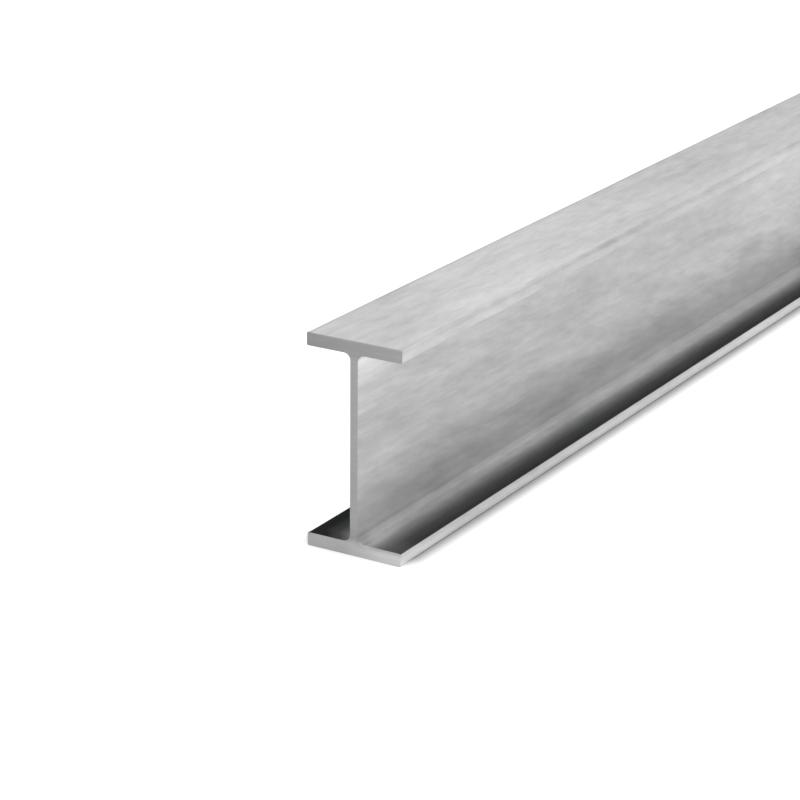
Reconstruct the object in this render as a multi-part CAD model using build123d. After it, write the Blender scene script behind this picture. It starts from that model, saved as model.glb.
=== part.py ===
from build123d import *
import os

# Rolled section of the beam, in millimetres
section_depth = 155.0  # over the outer faces of both flanges
flange_width = 75.0
flange_thickness = 9.5
web_thickness = 6.0
root_radius = 5.0  # sweep of steel where the web runs into a flange
toe_radius = 1.0  # rounding that the rolls leave on the flange tips

# Bar as it is sold
bar_length = 2000.0
end_break = 0.5  # burr filed off the edges of the sawn ends


# The section stands upright in the XZ plane, with its underside at height zero
def rolled_section():
    flange_spacing = section_depth - flange_thickness
    web = Rectangle(web_thickness, section_depth)
    flanges = GridLocations(0, flange_spacing, 1, 2) * Rectangle(flange_width, flange_thickness)
    section = web + flanges

    across = section.vertices().group_by(Axis.X)
    inner_corners = across[1] + across[-2]
    section = fillet(inner_corners, root_radius)

    across = section.vertices().group_by(Axis.X)
    tip_corners = across[0] + across[-1]
    section = fillet(tip_corners, toe_radius)

    return Plane.XZ * Pos(0, section_depth / 2) * section


# The section runs along Y, half of the bar on each side of the origin
def sawn_bar():
    bar = extrude(rolled_section(), amount=bar_length / 2, both=True)
    along = bar.faces().sort_by(Axis.Y)
    sawn_edges = along[0].edges() + along[-1].edges()
    return chamfer(sawn_edges, end_break)


beam = sawn_bar()
beam.label = "beam"

os.makedirs("parts", exist_ok=True)
export_step(beam, "parts/beam.step")
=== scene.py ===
import bpy
import bmesh
import math
from mathutils import Euler, Matrix, Vector, noise


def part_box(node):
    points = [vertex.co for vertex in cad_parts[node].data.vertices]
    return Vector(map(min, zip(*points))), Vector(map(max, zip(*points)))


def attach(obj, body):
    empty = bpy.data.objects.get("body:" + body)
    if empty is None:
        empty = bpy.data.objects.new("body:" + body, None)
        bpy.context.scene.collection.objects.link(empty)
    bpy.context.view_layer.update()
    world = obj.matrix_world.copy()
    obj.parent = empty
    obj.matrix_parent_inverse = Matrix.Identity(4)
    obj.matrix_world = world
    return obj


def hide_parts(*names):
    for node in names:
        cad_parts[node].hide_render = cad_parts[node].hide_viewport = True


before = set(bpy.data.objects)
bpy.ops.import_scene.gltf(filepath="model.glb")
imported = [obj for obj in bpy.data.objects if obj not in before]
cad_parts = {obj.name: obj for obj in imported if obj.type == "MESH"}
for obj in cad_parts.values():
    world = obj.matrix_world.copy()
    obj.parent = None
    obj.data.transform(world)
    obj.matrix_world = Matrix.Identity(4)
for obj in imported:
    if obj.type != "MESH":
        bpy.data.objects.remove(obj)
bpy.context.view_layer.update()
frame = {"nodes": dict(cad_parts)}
low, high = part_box("beam")
middle = (low + high) / 2
width, length, depth = high - low
hair = 1e-6  # metres, slack for comparing places
print("frame in:", ", ".join(frame["nodes"]))


# small helpers for shader trees

def addNode(tree, kind, inputs=None, **settings):
    node = tree.nodes.new(kind)
    for name, value in settings.items():
        setattr(node, name, value)
    for name, value in (inputs or {}).items():
        if isinstance(value, bpy.types.NodeSocket):
            tree.links.new(value, node.inputs[name])
        else:
            node.inputs[name].default_value = value
    return node


def maths(tree, operation, first, second=0.0, third=0.0, clamp=False):
    inputs = {0: first, 1: second, 2: third}
    return addNode(tree, "ShaderNodeMath", inputs, operation=operation, use_clamp=clamp).outputs[0]


def fade(tree, value, start, full):  # soft step from 0 at start to 1 where it is full
    inputs = {"Value": value, "From Min": start, "From Max": full}
    return addNode(tree, "ShaderNodeMapRange", inputs, interpolation_type="SMOOTHSTEP").outputs["Result"]


def zone(tree, spot, steps):  # where all the soft steps hold, each being (measure, start, full)
    parts = [fade(tree, spot[measure], start, full) for measure, start, full in steps]
    inside = parts[0]
    for part in parts[1:]:
        inside = maths(tree, "MULTIPLY", inside, part)
    return inside


def toneRamp(tree, value, stops):  # stops are (place, grey)
    node = addNode(tree, "ShaderNodeValToRGB", {"Fac": value})
    ramp = node.color_ramp
    while len(ramp.elements) < len(stops):
        ramp.elements.new(0.5)
    for element, (place, grey) in zip(ramp.elements, stops):
        element.position = place
        element.color = (grey, grey, grey, 1.0)
    return node.outputs["Color"]


def mixColours(tree, factor, first, second, blend="MIX"):
    node = addNode(tree, "ShaderNodeMix", data_type="RGBA", blend_type=blend, clamp_factor=True)
    for socket, value in ((node.inputs[0], factor), (node.inputs[6], first), (node.inputs[7], second)):
        if isinstance(value, bpy.types.NodeSocket):
            tree.links.new(value, socket)
        else:
            socket.default_value = value
    return node.outputs[2]


def blotches(tree, place, patch):  # noise with patches of a real size, leaning along the bar
    mapped = addNode(tree, "ShaderNodeMapping", {
        "Vector": place,
        "Scale": patch["size"],
        "Location": patch.get("shift", (0, 0, 0)),
        "Rotation": (math.radians(patch.get("lean", 0)), 0, 0),
    }, vector_type="TEXTURE")
    inputs = {"Vector": mapped.outputs[0], "Scale": 1.0, "Detail": patch["detail"], "Roughness": 0.5}
    return addNode(tree, "ShaderNodeTexNoise", inputs).outputs["Fac"]


# the bar itself

beamShape = {
    "flangeThick": 0.0095,
    "webThick": 0.006,
    "rootRadius": 0.005,
    "rootSteps": 8,
    "toeRadius": 0.001,
    "toeSteps": 3,
    "endBreak": 0.0005,
    "flangeCuts": 8,  # strips across a flange
    "webCuts": 14,  # strips up the web
    "step": 0.005,  # along the bar
    "waveDepth": 0.0003,
    "waveSize": (0.03, 0.11, 0.03),
    "squarely": 0.9,  # how straight a face looks one way to count as looking that way
    "flatAngle": 1,  # degrees, below this two faces are one flat
    "sharpAngle": 38,  # degrees, above this an edge isn't shaded smooth
}
thick = beamShape["flangeThick"]


def longEdges(bm, wanted):
    found = []
    for edge in bm.edges:
        a, b = edge.verts
        if abs(a.co.x - b.co.x) < hair and abs(a.co.z - b.co.z) < hair and wanted(abs(a.co.x), a.co.z):
            found.append(edge)
    return found


def pushOut(bm, faces, move):
    made = bmesh.ops.extrude_face_region(bm, geom=faces)
    verts = [g for g in made["geom"] if isinstance(g, bmesh.types.BMVert)]
    bmesh.ops.translate(bm, verts=verts, vec=move)
    bmesh.ops.delete(bm, geom=faces, context="FACES_ONLY")  # the old faces would be left inside the steel


def roundOff(bm, edges, radius, steps):
    bmesh.ops.bevel(bm, geom=edges, offset=radius, offset_type="OFFSET", segments=steps,
                    profile=0.5, affect="EDGES", material=-1, clamp_overlap=False)


def cutAcross(bm, place, normal):
    geom = bm.verts[:] + bm.edges[:] + bm.faces[:]
    bmesh.ops.bisect_plane(bm, geom=geom, dist=hair, plane_co=place, plane_no=normal)


def makeBeam(shape):
    webHalf = shape["webThick"] / 2
    squarely = shape["squarely"]
    bm = bmesh.new()

    # web first, then its top and bottom faces pushed out, and the sides of those pushed into flanges
    bmesh.ops.create_cube(bm, size=1.0)
    bmesh.ops.scale(bm, verts=bm.verts, vec=(shape["webThick"], length, depth - 2 * thick))
    bmesh.ops.translate(bm, verts=bm.verts, vec=middle)
    bm.normal_update()
    for way in (1, -1):
        pushOut(bm, [f for f in bm.faces if f.normal.z * way > squarely], (0, 0, way * thick))
        bm.normal_update()
    for way in (1, -1):
        sides = [f for f in bm.faces if f.normal.x * way > squarely
                 and abs(f.calc_center_median().z - middle.z) > depth / 2 - thick]
        pushOut(bm, sides, (way * (width / 2 - webHalf), 0, 0))
        bm.normal_update()
    bmesh.ops.recalc_face_normals(bm, faces=bm.faces)
    flat = math.radians(shape["flatAngle"])
    bmesh.ops.dissolve_limit(bm, angle_limit=flat, verts=bm.verts, edges=bm.edges)

    # root sweeps and rolled toes
    roots = longEdges(bm, lambda x, z: x < webHalf + hair and low.z + hair < z < high.z - hair)
    roundOff(bm, roots, shape["rootRadius"], shape["rootSteps"])
    toes = longEdges(bm, lambda x, z: x > width / 2 - hair)
    roundOff(bm, toes, shape["toeRadius"], shape["toeSteps"])

    # burr off the sawn ends: the edges between an end and any other face
    bm.normal_update()
    rim = []
    for edge in bm.edges:
        ends = [abs(f.normal.y) > squarely for f in edge.link_faces]
        if any(ends) and not all(ends):
            rim.append(edge)
    roundOff(bm, rim, shape["endBreak"], 1)

    # strips across the flanges and up the web, then short steps along the bar
    for i in range(1, shape["flangeCuts"]):
        cutAcross(bm, (low.x + width * i / shape["flangeCuts"], 0, 0), (1, 0, 0))
    for i in range(1, shape["webCuts"]):
        cutAcross(bm, (0, 0, low.z + depth * i / shape["webCuts"]), (0, 0, 1))
    runs = [e for e in longEdges(bm, lambda x, z: True) if e.calc_length() > length / 2]
    cuts = round(length / shape["step"]) - 1
    bmesh.ops.subdivide_edges(bm, edges=runs, cuts=cuts, use_grid_fill=True)

    # rolled faces are never dead flat: hollows into the steel only, none on the ends or underneath
    bm.normal_update()
    sizeX, sizeY, sizeZ = shape["waveSize"]
    for v in bm.verts:
        atEnd = abs(v.co.y - middle.y) > length / 2 - shape["step"] / 2
        beneath = v.normal.z < -squarely and v.co.z < low.z + thick / 2
        if atEnd or beneath:
            continue
        wave = noise.noise(Vector((v.co.x / sizeX, v.co.y / sizeY, v.co.z / sizeZ)))
        v.co -= v.normal * shape["waveDepth"] * (0.5 + 0.5 * wave)

    mesh = bpy.data.meshes.new("rolled_bar")
    bm.to_mesh(mesh)
    bm.free()
    mesh.polygons.foreach_set("use_smooth", [True] * len(mesh.polygons))
    mesh.set_sharp_from_angle(angle=math.radians(shape["sharpAngle"]))
    bar = bpy.data.objects.new("rolled_bar", mesh)
    bpy.context.scene.collection.objects.link(bar)
    print("bar:", len(mesh.polygons), "faces")
    return bar


# its finish: soft steps are (measure, start, full), in metres or as a share of a face's direction

upperHalf = [("height", depth / 2, depth - thick)]
onTop = upperHalf + [("upward", 0.5, 0.9)]
onWeb = [("across", 0.020, 0.010)]
webFace = onWeb + [("upward", 0.3, -0.1)]  # nothing that looks up
onToes = [("fromToe", 0.002, 0.0005), ("sideways", 0.5, 0.9)]
rightRoot = [("x", 0.001, 0.004), ("x", 0.012, 0.008),
             ("height", 0.006, 0.009), ("height", 0.019, 0.014)]
lowFlangeEnd = [("height", 1.5 * thick, 0.8 * thick)]

steelFinish = {
    "rolled": {
        "colour": (0.598, 0.599, 0.601, 1.0),
        # mottling from broad to fine: size in metres, lean in degrees, weight on upright and level faces
        "mottling": {
            "drifts": {"size": (0.100, 0.350, 0.100), "shift": (2.67, 0.95, -1.61),
                       "detail": 2, "upright": 0.45, "level": 0.38},
            "clouds": {"size": (0.045, 0.130, 0.045), "shift": (2.89, -2.62, 2.72), "lean": -5,
                       "detail": 4, "upright": 0.36, "level": 0.52},
            "slants": {"size": (0.011, 0.075, 0.011), "shift": (-0.538, -0.719, 0.055), "lean": -7,
                       "detail": 3, "upright": 0.42, "level": 0.34},
            "flecks": {"size": (0.0045, 0.020, 0.0045), "lean": -7,
                       "detail": 2, "upright": 0.28, "level": 0.30},
            "lines": {"size": (0.0022, 0.300, 0.0022),
                      "detail": 2, "upright": 0.14, "level": 0.10},
            "grain": {"size": (0.0016, 0.0022, 0.0016),
                      "detail": 2, "upright": 0.12, "level": 0.12},
        },
        "uprightFrom": (0.9, 0.5),
        "breaks": {"size": (0.030, 0.030, 0.030), "detail": 2},  # the top arris is dull in broken lengths
        # lighter and duller places, some of them painted light and shade: the tone they add, and their
        # soft steps
        "places": {
            # painted light: the top face a little lighter
            "paintedLightTopFace": (0.050, onTop),
            "topEnds": (-0.06, onTop + [("fromEnd", 0.045, 0.010), ("x", -0.005, 0.020)]),
            "topArris": (-0.16, [("fromToe", 0.0045, 0.0020), ("fromTop", 0.0045, 0.0020),
                                 ("breaks", 0.10, 0.80)]),
            "paintedLightUnderTop": (0.22, webFace + [("height", 0.118, 0.138)]),  # painted light: the web lighter just under the top flange
            # painted light: the upper web a little lighter
            "paintedLightUpperWeb": (0.05, webFace + [("height", 0.085, 0.115)]),
            # painted light: the upper web lighter by the ends
            "paintedLightWebByEnds": (0.20, webFace + [("height", 0.100, 0.140), ("fromEnd", 0.060, 0.000)]),
            # painted light: the web lighter along the middle of the bar
            "paintedLightWebMiddle": (0.12, webFace + [("height", 0.080, 0.110), ("along", 0.41, 0.30)]),
            "underToe": (0.14, webFace + [("height", 0.104, 0.116), ("along", 0.35, 0.29)]),
            "stain": (-0.15, onWeb + [("height", 0.044, 0.054), ("height", 0.074, 0.062),
                                      ("along", 0.310, 0.330), ("along", 0.380, 0.355)]),
            # painted highlight: lighter along the roots of the lower flange
            "paintedHighlightLowRoots": (0.10, [("across", 0.017, 0.008), ("height", 0.030, 0.016),
                                ("fromEnd", 0.000, 0.030)]),
            "darkRootSpot": (-0.18, rightRoot + [("fromEnd", 0.018, 0.006)]),  # darker in the right root by the ends
            "toeFaces": (0.015, onToes),
            "toeEnds": (0.13, onToes + [("fromEnd", 0.045, 0.005)]),
            "toeMiddle": (0.15, onToes + upperHalf + [("along", 0.58, 0.36)]),
            # painted light: the lower part of the toe faces lighter, down to the floor
            "paintedLightLowToes": (0.45, onToes + [("height", 0.0085, 0.0025)]),
        },
    },
    # painted shade: a dark sheet over the lower flange and low on the web, deepest along the toes and on
    # the left
    "paintedShade": {
        "colour": (0.031, 0.032, 0.033, 1.0),
        # how dense: up the web by shares of the depth, over the lower flange by shares of half its width
        "upWeb": [(0.00, 0.34), (0.07, 0.32), (0.11, 0.05), (0.17, 0.08),
                  (0.24, 0.17), (0.30, 0.12), (0.36, 0.05), (0.42, 0.01)],
        "overFlange": [(0.08, 0.16), (0.24, 0.00), (0.32, 0.11), (0.40, 0.38),
                       (0.56, 0.73), (0.72, 0.90), (0.88, 0.95), (1.00, 1.00)],
        "flames": {"size": (0.014, 0.110, 0.014), "shift": (-0.242, -0.837, -0.376), "lean": -16,
                   "detail": 3},
        "flameReach": 0.050,
        "flameFrom": (0.018, 0.036),
        # where the painted shade is taken off the web: share taken off, and soft steps
        "cleared": {
            "ends": (1.0, [("fromEnd", 0.045, -0.020), ("height", 0.012, 0.026)]),
            "middle": (0.6, [("along", 0.30, 0.25), ("height", 0.018, 0.030)]),
        },
        "leftFrom": (0.0, -0.006),
        "sides": {  # right and left; the left, shaded side gets more painted shade
            "nearer": (0.00, 0.22),  # how much nearer to the web it lies
            "fullest": (0.965, 1.00),
            "endReach": (0.04, 0.16),  # how much nearer by the sawn ends
            "endThin": (0.08, 0.00),  # and how much thinner
            "overToes": (0.3, 0.6),  # how far round the toes it runs
        },
        "endReachFrom": (0.014, 0.002),
        "endThinFrom": (0.030, 0.005),
        "overToesFrom": (0.0035, 0.0015),
        "waver": {"size": (0.020, 0.030, 0.020), "detail": 2},
        "waverWeight": 0.06,
        "levelFrom": (0.55, 0.98),
        "flangeBelow": (0.030, 0.020),
        "webWithin": (0.020, 0.012),
    },
    "sawn": {
        "colour": (0.370, 0.371, 0.373, 1.0),
        "kerf": {"size": (0.030, 0.030, 0.0007), "lean": -4, "detail": 2},
        "kerfWeight": 0.30,
        "endsFrom": (0.4, 0.65),
        "rightward": 0.12,  # lighter to the right
        "places": {
            "web": (0.12, [("height", 0.010, 0.030), ("fromTop", thick, 1.5 * thick)]),
            "lowFlange": (0.39, lowFlangeEnd),
            "lowRight": (0.30, lowFlangeEnd + [("x", -0.020, 0.016)]),
            "rim": (-0.45, [("height", 0.0062, 0.0092), ("height", 0.030, 0.020), ("x", 0.008, 0.018)]),
            "darkRootSpot": (-0.18, rightRoot),
        },
    },
    "shine": {
        "metal": 0.5,
        "rough": 0.32,
        "roughClouds": 0.22,
        "roughDull": 0.10,  # more on the painted shade and the sawn ends
        "bump": 0.25,
        "relief": 0.0004,
    },
}


def addPlaces(tree, tone, spot, places):
    for add, steps in places.values():
        tone = maths(tree, "MULTIPLY_ADD", zone(tree, spot, steps), add, tone)
    return tone


def rolledTone(tree, rolled, noises, spot, upright):  # grey of the rolled faces, about 1
    tone = 1.0
    for name, patch in rolled["mottling"].items():
        weight = maths(tree, "MULTIPLY_ADD", upright, patch["upright"] - patch["level"], patch["level"])
        tone = maths(tree, "MULTIPLY_ADD", maths(tree, "SUBTRACT", noises[name], 0.5), weight, tone)
    return addPlaces(tree, tone, spot, rolled["places"])


def sawnTone(tree, sawn, kerf, spot):
    tone = maths(tree, "MULTIPLY_ADD", maths(tree, "SUBTRACT", kerf, 0.5), sawn["kerfWeight"], 1.0)
    tone = maths(tree, "MULTIPLY_ADD", spot["x"], sawn["rightward"] / (width / 2), tone)
    return addPlaces(tree, tone, spot, sawn["places"])


def paintShade(tree, paintedShade, place, spot):  # painted shade: flames low on the web, deepest along the lower toes
    flames = maths(tree, "SUBTRACT", blotches(tree, place, paintedShade["flames"]), 0.5)
    flames = maths(tree, "MULTIPLY", flames, fade(tree, spot["height"], *paintedShade["flameFrom"]))
    rise = maths(tree, "MULTIPLY_ADD", flames, paintedShade["flameReach"], spot["height"])
    upWeb = toneRamp(tree, maths(tree, "DIVIDE", rise, depth), paintedShade["upWeb"])
    for share, steps in paintedShade["cleared"].values():
        remains = maths(tree, "MULTIPLY_ADD", zone(tree, spot, steps), -share, 1.0)
        upWeb = maths(tree, "MULTIPLY", upWeb, remains)

    onLeft = fade(tree, spot["x"], *paintedShade["leftFrom"])
    side = {name: maths(tree, "MULTIPLY_ADD", onLeft, left - right, right)
            for name, (right, left) in paintedShade["sides"].items()}
    reach = maths(tree, "ADD", side["nearer"], maths(tree, "DIVIDE", spot["across"], width / 2))
    byEnd = fade(tree, spot["fromEnd"], *paintedShade["endReachFrom"])
    reach = maths(tree, "MULTIPLY_ADD", byEnd, side["endReach"], reach)
    waver = maths(tree, "SUBTRACT", blotches(tree, place, paintedShade["waver"]), 0.5)
    reach = maths(tree, "MULTIPLY_ADD", waver, paintedShade["waverWeight"], reach)
    overFlange = maths(tree, "MINIMUM", toneRamp(tree, reach, paintedShade["overFlange"]), side["fullest"])
    thin = maths(tree, "MULTIPLY", fade(tree, spot["fromEnd"], *paintedShade["endThinFrom"]), side["endThin"])
    overFlange = maths(tree, "SUBTRACT", overFlange, thin, clamp=True)

    # the painted shade on the flange lies on level faces and runs round the toes, the web's on the steep
    # ones
    overToe = maths(tree, "MULTIPLY", side["overToes"], fade(tree, spot["fromToe"], *paintedShade["overToesFrom"]))
    level = fade(tree, maths(tree, "ADD", overToe, spot["upward"]), *paintedShade["levelFrom"])
    flangeShare = maths(tree, "MULTIPLY", level, fade(tree, spot["height"], *paintedShade["flangeBelow"]))
    steep = maths(tree, "SUBTRACT", 1.0, level)
    webShare = maths(tree, "MULTIPLY", steep, fade(tree, spot["across"], *paintedShade["webWithin"]))
    return maths(tree, "MULTIPLY_ADD", overFlange, flangeShare, maths(tree, "MULTIPLY", upWeb, webShare))


def steelMaterial(finish):
    rolled, sawn, shine = finish["rolled"], finish["sawn"], finish["shine"]
    steel = bpy.data.materials.new("rolled_steel")
    steel.use_nodes = True
    tree = steel.node_tree
    shader = tree.nodes["Principled BSDF"]
    place = addNode(tree, "ShaderNodeTexCoord").outputs["Object"]
    xyz = addNode(tree, "ShaderNodeSeparateXYZ", {0: place}).outputs
    facing = addNode(tree, "ShaderNodeNewGeometry").outputs["Normal"]
    normal = addNode(tree, "ShaderNodeSeparateXYZ", {0: facing}).outputs
    across = maths(tree, "ABSOLUTE", xyz["X"])
    along = maths(tree, "ABSOLUTE", xyz["Y"])
    spot = {
        "x": xyz["X"],
        "across": across,
        "along": along,
        "height": xyz["Z"],
        "fromToe": maths(tree, "SUBTRACT", width / 2, across),
        "fromEnd": maths(tree, "SUBTRACT", length / 2, along),
        "fromTop": maths(tree, "SUBTRACT", depth, xyz["Z"]),
        "upward": normal["Z"],
        "sideways": maths(tree, "ABSOLUTE", normal["X"]),
        "breaks": blotches(tree, place, rolled["breaks"]),
    }
    onEnds = fade(tree, maths(tree, "ABSOLUTE", normal["Y"]), *sawn["endsFrom"])
    upright = fade(tree, maths(tree, "ABSOLUTE", normal["Z"]), *rolled["uprightFrom"])
    noises = {name: blotches(tree, place, patch) for name, patch in rolled["mottling"].items()}
    kerf = blotches(tree, place, sawn["kerf"])

    paintedShade = paintShade(tree, finish["paintedShade"], place, spot)
    tone = rolledTone(tree, rolled, noises, spot, upright)
    colour = mixColours(tree, 1.0, rolled["colour"], tone, "MULTIPLY")
    colour = mixColours(tree, paintedShade, colour, finish["paintedShade"]["colour"])
    sawnColour = mixColours(tree, 1.0, sawn["colour"], sawnTone(tree, sawn, kerf, spot), "MULTIPLY")
    tree.links.new(mixColours(tree, onEnds, colour, sawnColour), shader.inputs["Base Color"])

    # the painted shade takes the metal's shine away
    metal = maths(tree, "MULTIPLY_ADD", paintedShade, -shine["metal"], shine["metal"])
    tree.links.new(metal, shader.inputs["Metallic"])
    shader.inputs["Specular IOR Level"].default_value = 0.0
    rough = maths(tree, "MULTIPLY_ADD", noises["clouds"], shine["roughClouds"], shine["rough"])
    dull = maths(tree, "MAXIMUM", paintedShade, onEnds)
    rough = maths(tree, "MULTIPLY_ADD", dull, shine["roughDull"], rough)
    tree.links.new(rough, shader.inputs["Roughness"])

    # lines and grain stand out on the rolled faces, saw marks on the ends
    scratches = maths(tree, "MULTIPLY", maths(tree, "ADD", noises["lines"], noises["grain"]), 0.5)
    marks = addNode(tree, "ShaderNodeMix", {0: onEnds, 2: scratches, 3: kerf}, data_type="FLOAT")
    inputs = {"Height": marks.outputs[0], "Strength": shine["bump"], "Distance": shine["relief"]}
    bump = addNode(tree, "ShaderNodeBump", inputs)
    tree.links.new(bump.outputs["Normal"], shader.inputs["Normal"])
    print("finish:", len(tree.nodes), "nodes")
    return steel


bar = makeBeam(beamShape)
bar.data.materials.append(steelMaterial(steelFinish))
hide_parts("beam")
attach(bar, "root")


# floor, light and camera

studio = {
    "floorSize": 40.0,
    "floorColour": (0.90, 0.90, 0.90, 1.0),
    "floorLift": 0.60,  # what the camera sees on top of the floor's own light
    "farLift": 0.30,  # more of it where the lamps don't reach
    "farFrom": (1.2, 3.0),
    "shade": [("fromToe", 0.016, 0.000), ("pastEnd", 0.004, -0.022)],  # no lift in the bar's shadow
    # reach of the painted contact shadow
    "contact": 0.012,
    "contactSamples": 8,
    "worldGrey": 0.25,
    "overhead": {"size": 3.6, "power": 53.0, "place": (0.4, -1.5, 2.4), "aim": (0.2, -1.2, 0.0)},
    "side": {"size": 2.0, "power": 7.0, "place": (2.2, 0.5, 0.9), "aim": (0.0, 0.0, 0.05)},
}


def seenRays(tree):  # what the camera sees, straight or in a shine
    rays = addNode(tree, "ShaderNodeLightPath").outputs
    seen = maths(tree, "ADD", rays["Is Camera Ray"], rays["Is Glossy Ray"])
    return maths(tree, "ADD", seen, rays["Is Transmission Ray"], clamp=True)


def floorPaint():
    paint = bpy.data.materials.new("floor_paint")
    paint.use_nodes = True
    tree = paint.node_tree
    tree.nodes.remove(tree.nodes["Principled BSDF"])
    seen = seenRays(tree)
    inputs = {"Color": studio["floorColour"], "Distance": studio["contact"]}
    # painted contact shadow: occlusion darkens the floor's colour beside the bar, for what the camera sees
    contact = addNode(tree, "ShaderNodeAmbientOcclusion", inputs, samples=studio["contactSamples"])
    colour = mixColours(tree, seen, studio["floorColour"], contact.outputs["Color"])
    matt = addNode(tree, "ShaderNodeBsdfDiffuse", {"Color": colour})

    place = addNode(tree, "ShaderNodeTexCoord").outputs["Object"]
    xyz = addNode(tree, "ShaderNodeSeparateXYZ", {0: place}).outputs
    spot = {
        "fromToe": maths(tree, "SUBTRACT", maths(tree, "ABSOLUTE", xyz["X"]), width / 2),
        "pastEnd": maths(tree, "SUBTRACT", maths(tree, "ABSOLUTE", xyz["Y"]), length / 2),
    }
    away = addNode(tree, "ShaderNodeVectorMath", {0: place}, operation="LENGTH").outputs["Value"]
    far = fade(tree, away, *studio["farFrom"])
    lift = maths(tree, "MULTIPLY_ADD", far, studio["farLift"], studio["floorLift"])
    lit = maths(tree, "SUBTRACT", 1.0, zone(tree, spot, studio["shade"]))
    lift = maths(tree, "MULTIPLY", lift, lit)
    glow = addNode(tree, "ShaderNodeEmission", {"Strength": maths(tree, "MULTIPLY", seen, lift)})
    both = addNode(tree, "ShaderNodeAddShader", {0: matt.outputs[0], 1: glow.outputs[0]})
    tree.links.new(both.outputs[0], tree.nodes["Material Output"].inputs["Surface"])
    return paint


def makeFloor():
    bm = bmesh.new()
    bmesh.ops.create_grid(bm, x_segments=1, y_segments=1, size=studio["floorSize"] / 2)
    mesh = bpy.data.meshes.new("floor")
    bm.to_mesh(mesh)
    bm.free()
    mesh.materials.append(floorPaint())
    floor = bpy.data.objects.new("floor", mesh)
    bpy.context.scene.collection.objects.link(floor)


def makeWorld():
    world = bpy.data.worlds.new("studio")
    world.use_nodes = True
    tree = world.node_tree
    strength = maths(tree, "MULTIPLY_ADD", seenRays(tree), 1.0 - studio["worldGrey"], studio["worldGrey"])
    back = tree.nodes["Background"]
    back.inputs["Color"].default_value = (1.0, 1.0, 1.0, 1.0)
    tree.links.new(strength, back.inputs["Strength"])
    bpy.context.scene.world = world


def makeLamp(name, lamp):
    light = bpy.data.lights.new(name, "AREA")
    light.shape = "SQUARE"
    light.size = lamp["size"]
    light.energy = lamp["power"]
    holder = bpy.data.objects.new(name, light)
    holder.location = lamp["place"]
    ray = Vector(lamp["aim"]) - Vector(lamp["place"])
    holder.rotation_euler = ray.to_track_quat("-Z", "Y").to_euler()
    bpy.context.scene.collection.objects.link(holder)


photoView = {
    "lens": 119.16,
    "sensor": 36.0,
    "place": (0.8836, -2.4203, 0.7109),
    "azimuth": 30.82,
    "elevation": 19.65,
    "roll": 0.48,  # the picture leans by half a degree
}


def makeCamera():
    data = bpy.data.cameras.new("camera")
    data.sensor_width = photoView["sensor"]
    data.lens = photoView["lens"]
    camera = bpy.data.objects.new("camera", data)
    camera.location = photoView["place"]
    tilt = math.radians(90 - photoView["elevation"])
    level = Euler((tilt, 0, math.radians(photoView["azimuth"]))).to_matrix()
    roll = Matrix.Rotation(math.radians(photoView["roll"]), 3, "Z")
    camera.rotation_euler = (level @ roll).to_euler()
    bpy.context.scene.collection.objects.link(camera)
    bpy.context.scene.camera = camera


makeFloor()
makeWorld()
makeLamp("overhead", studio["overhead"])
makeLamp("side", studio["side"])
makeCamera()
bpy.context.scene.view_settings.view_transform = "Standard"
print("studio ready")
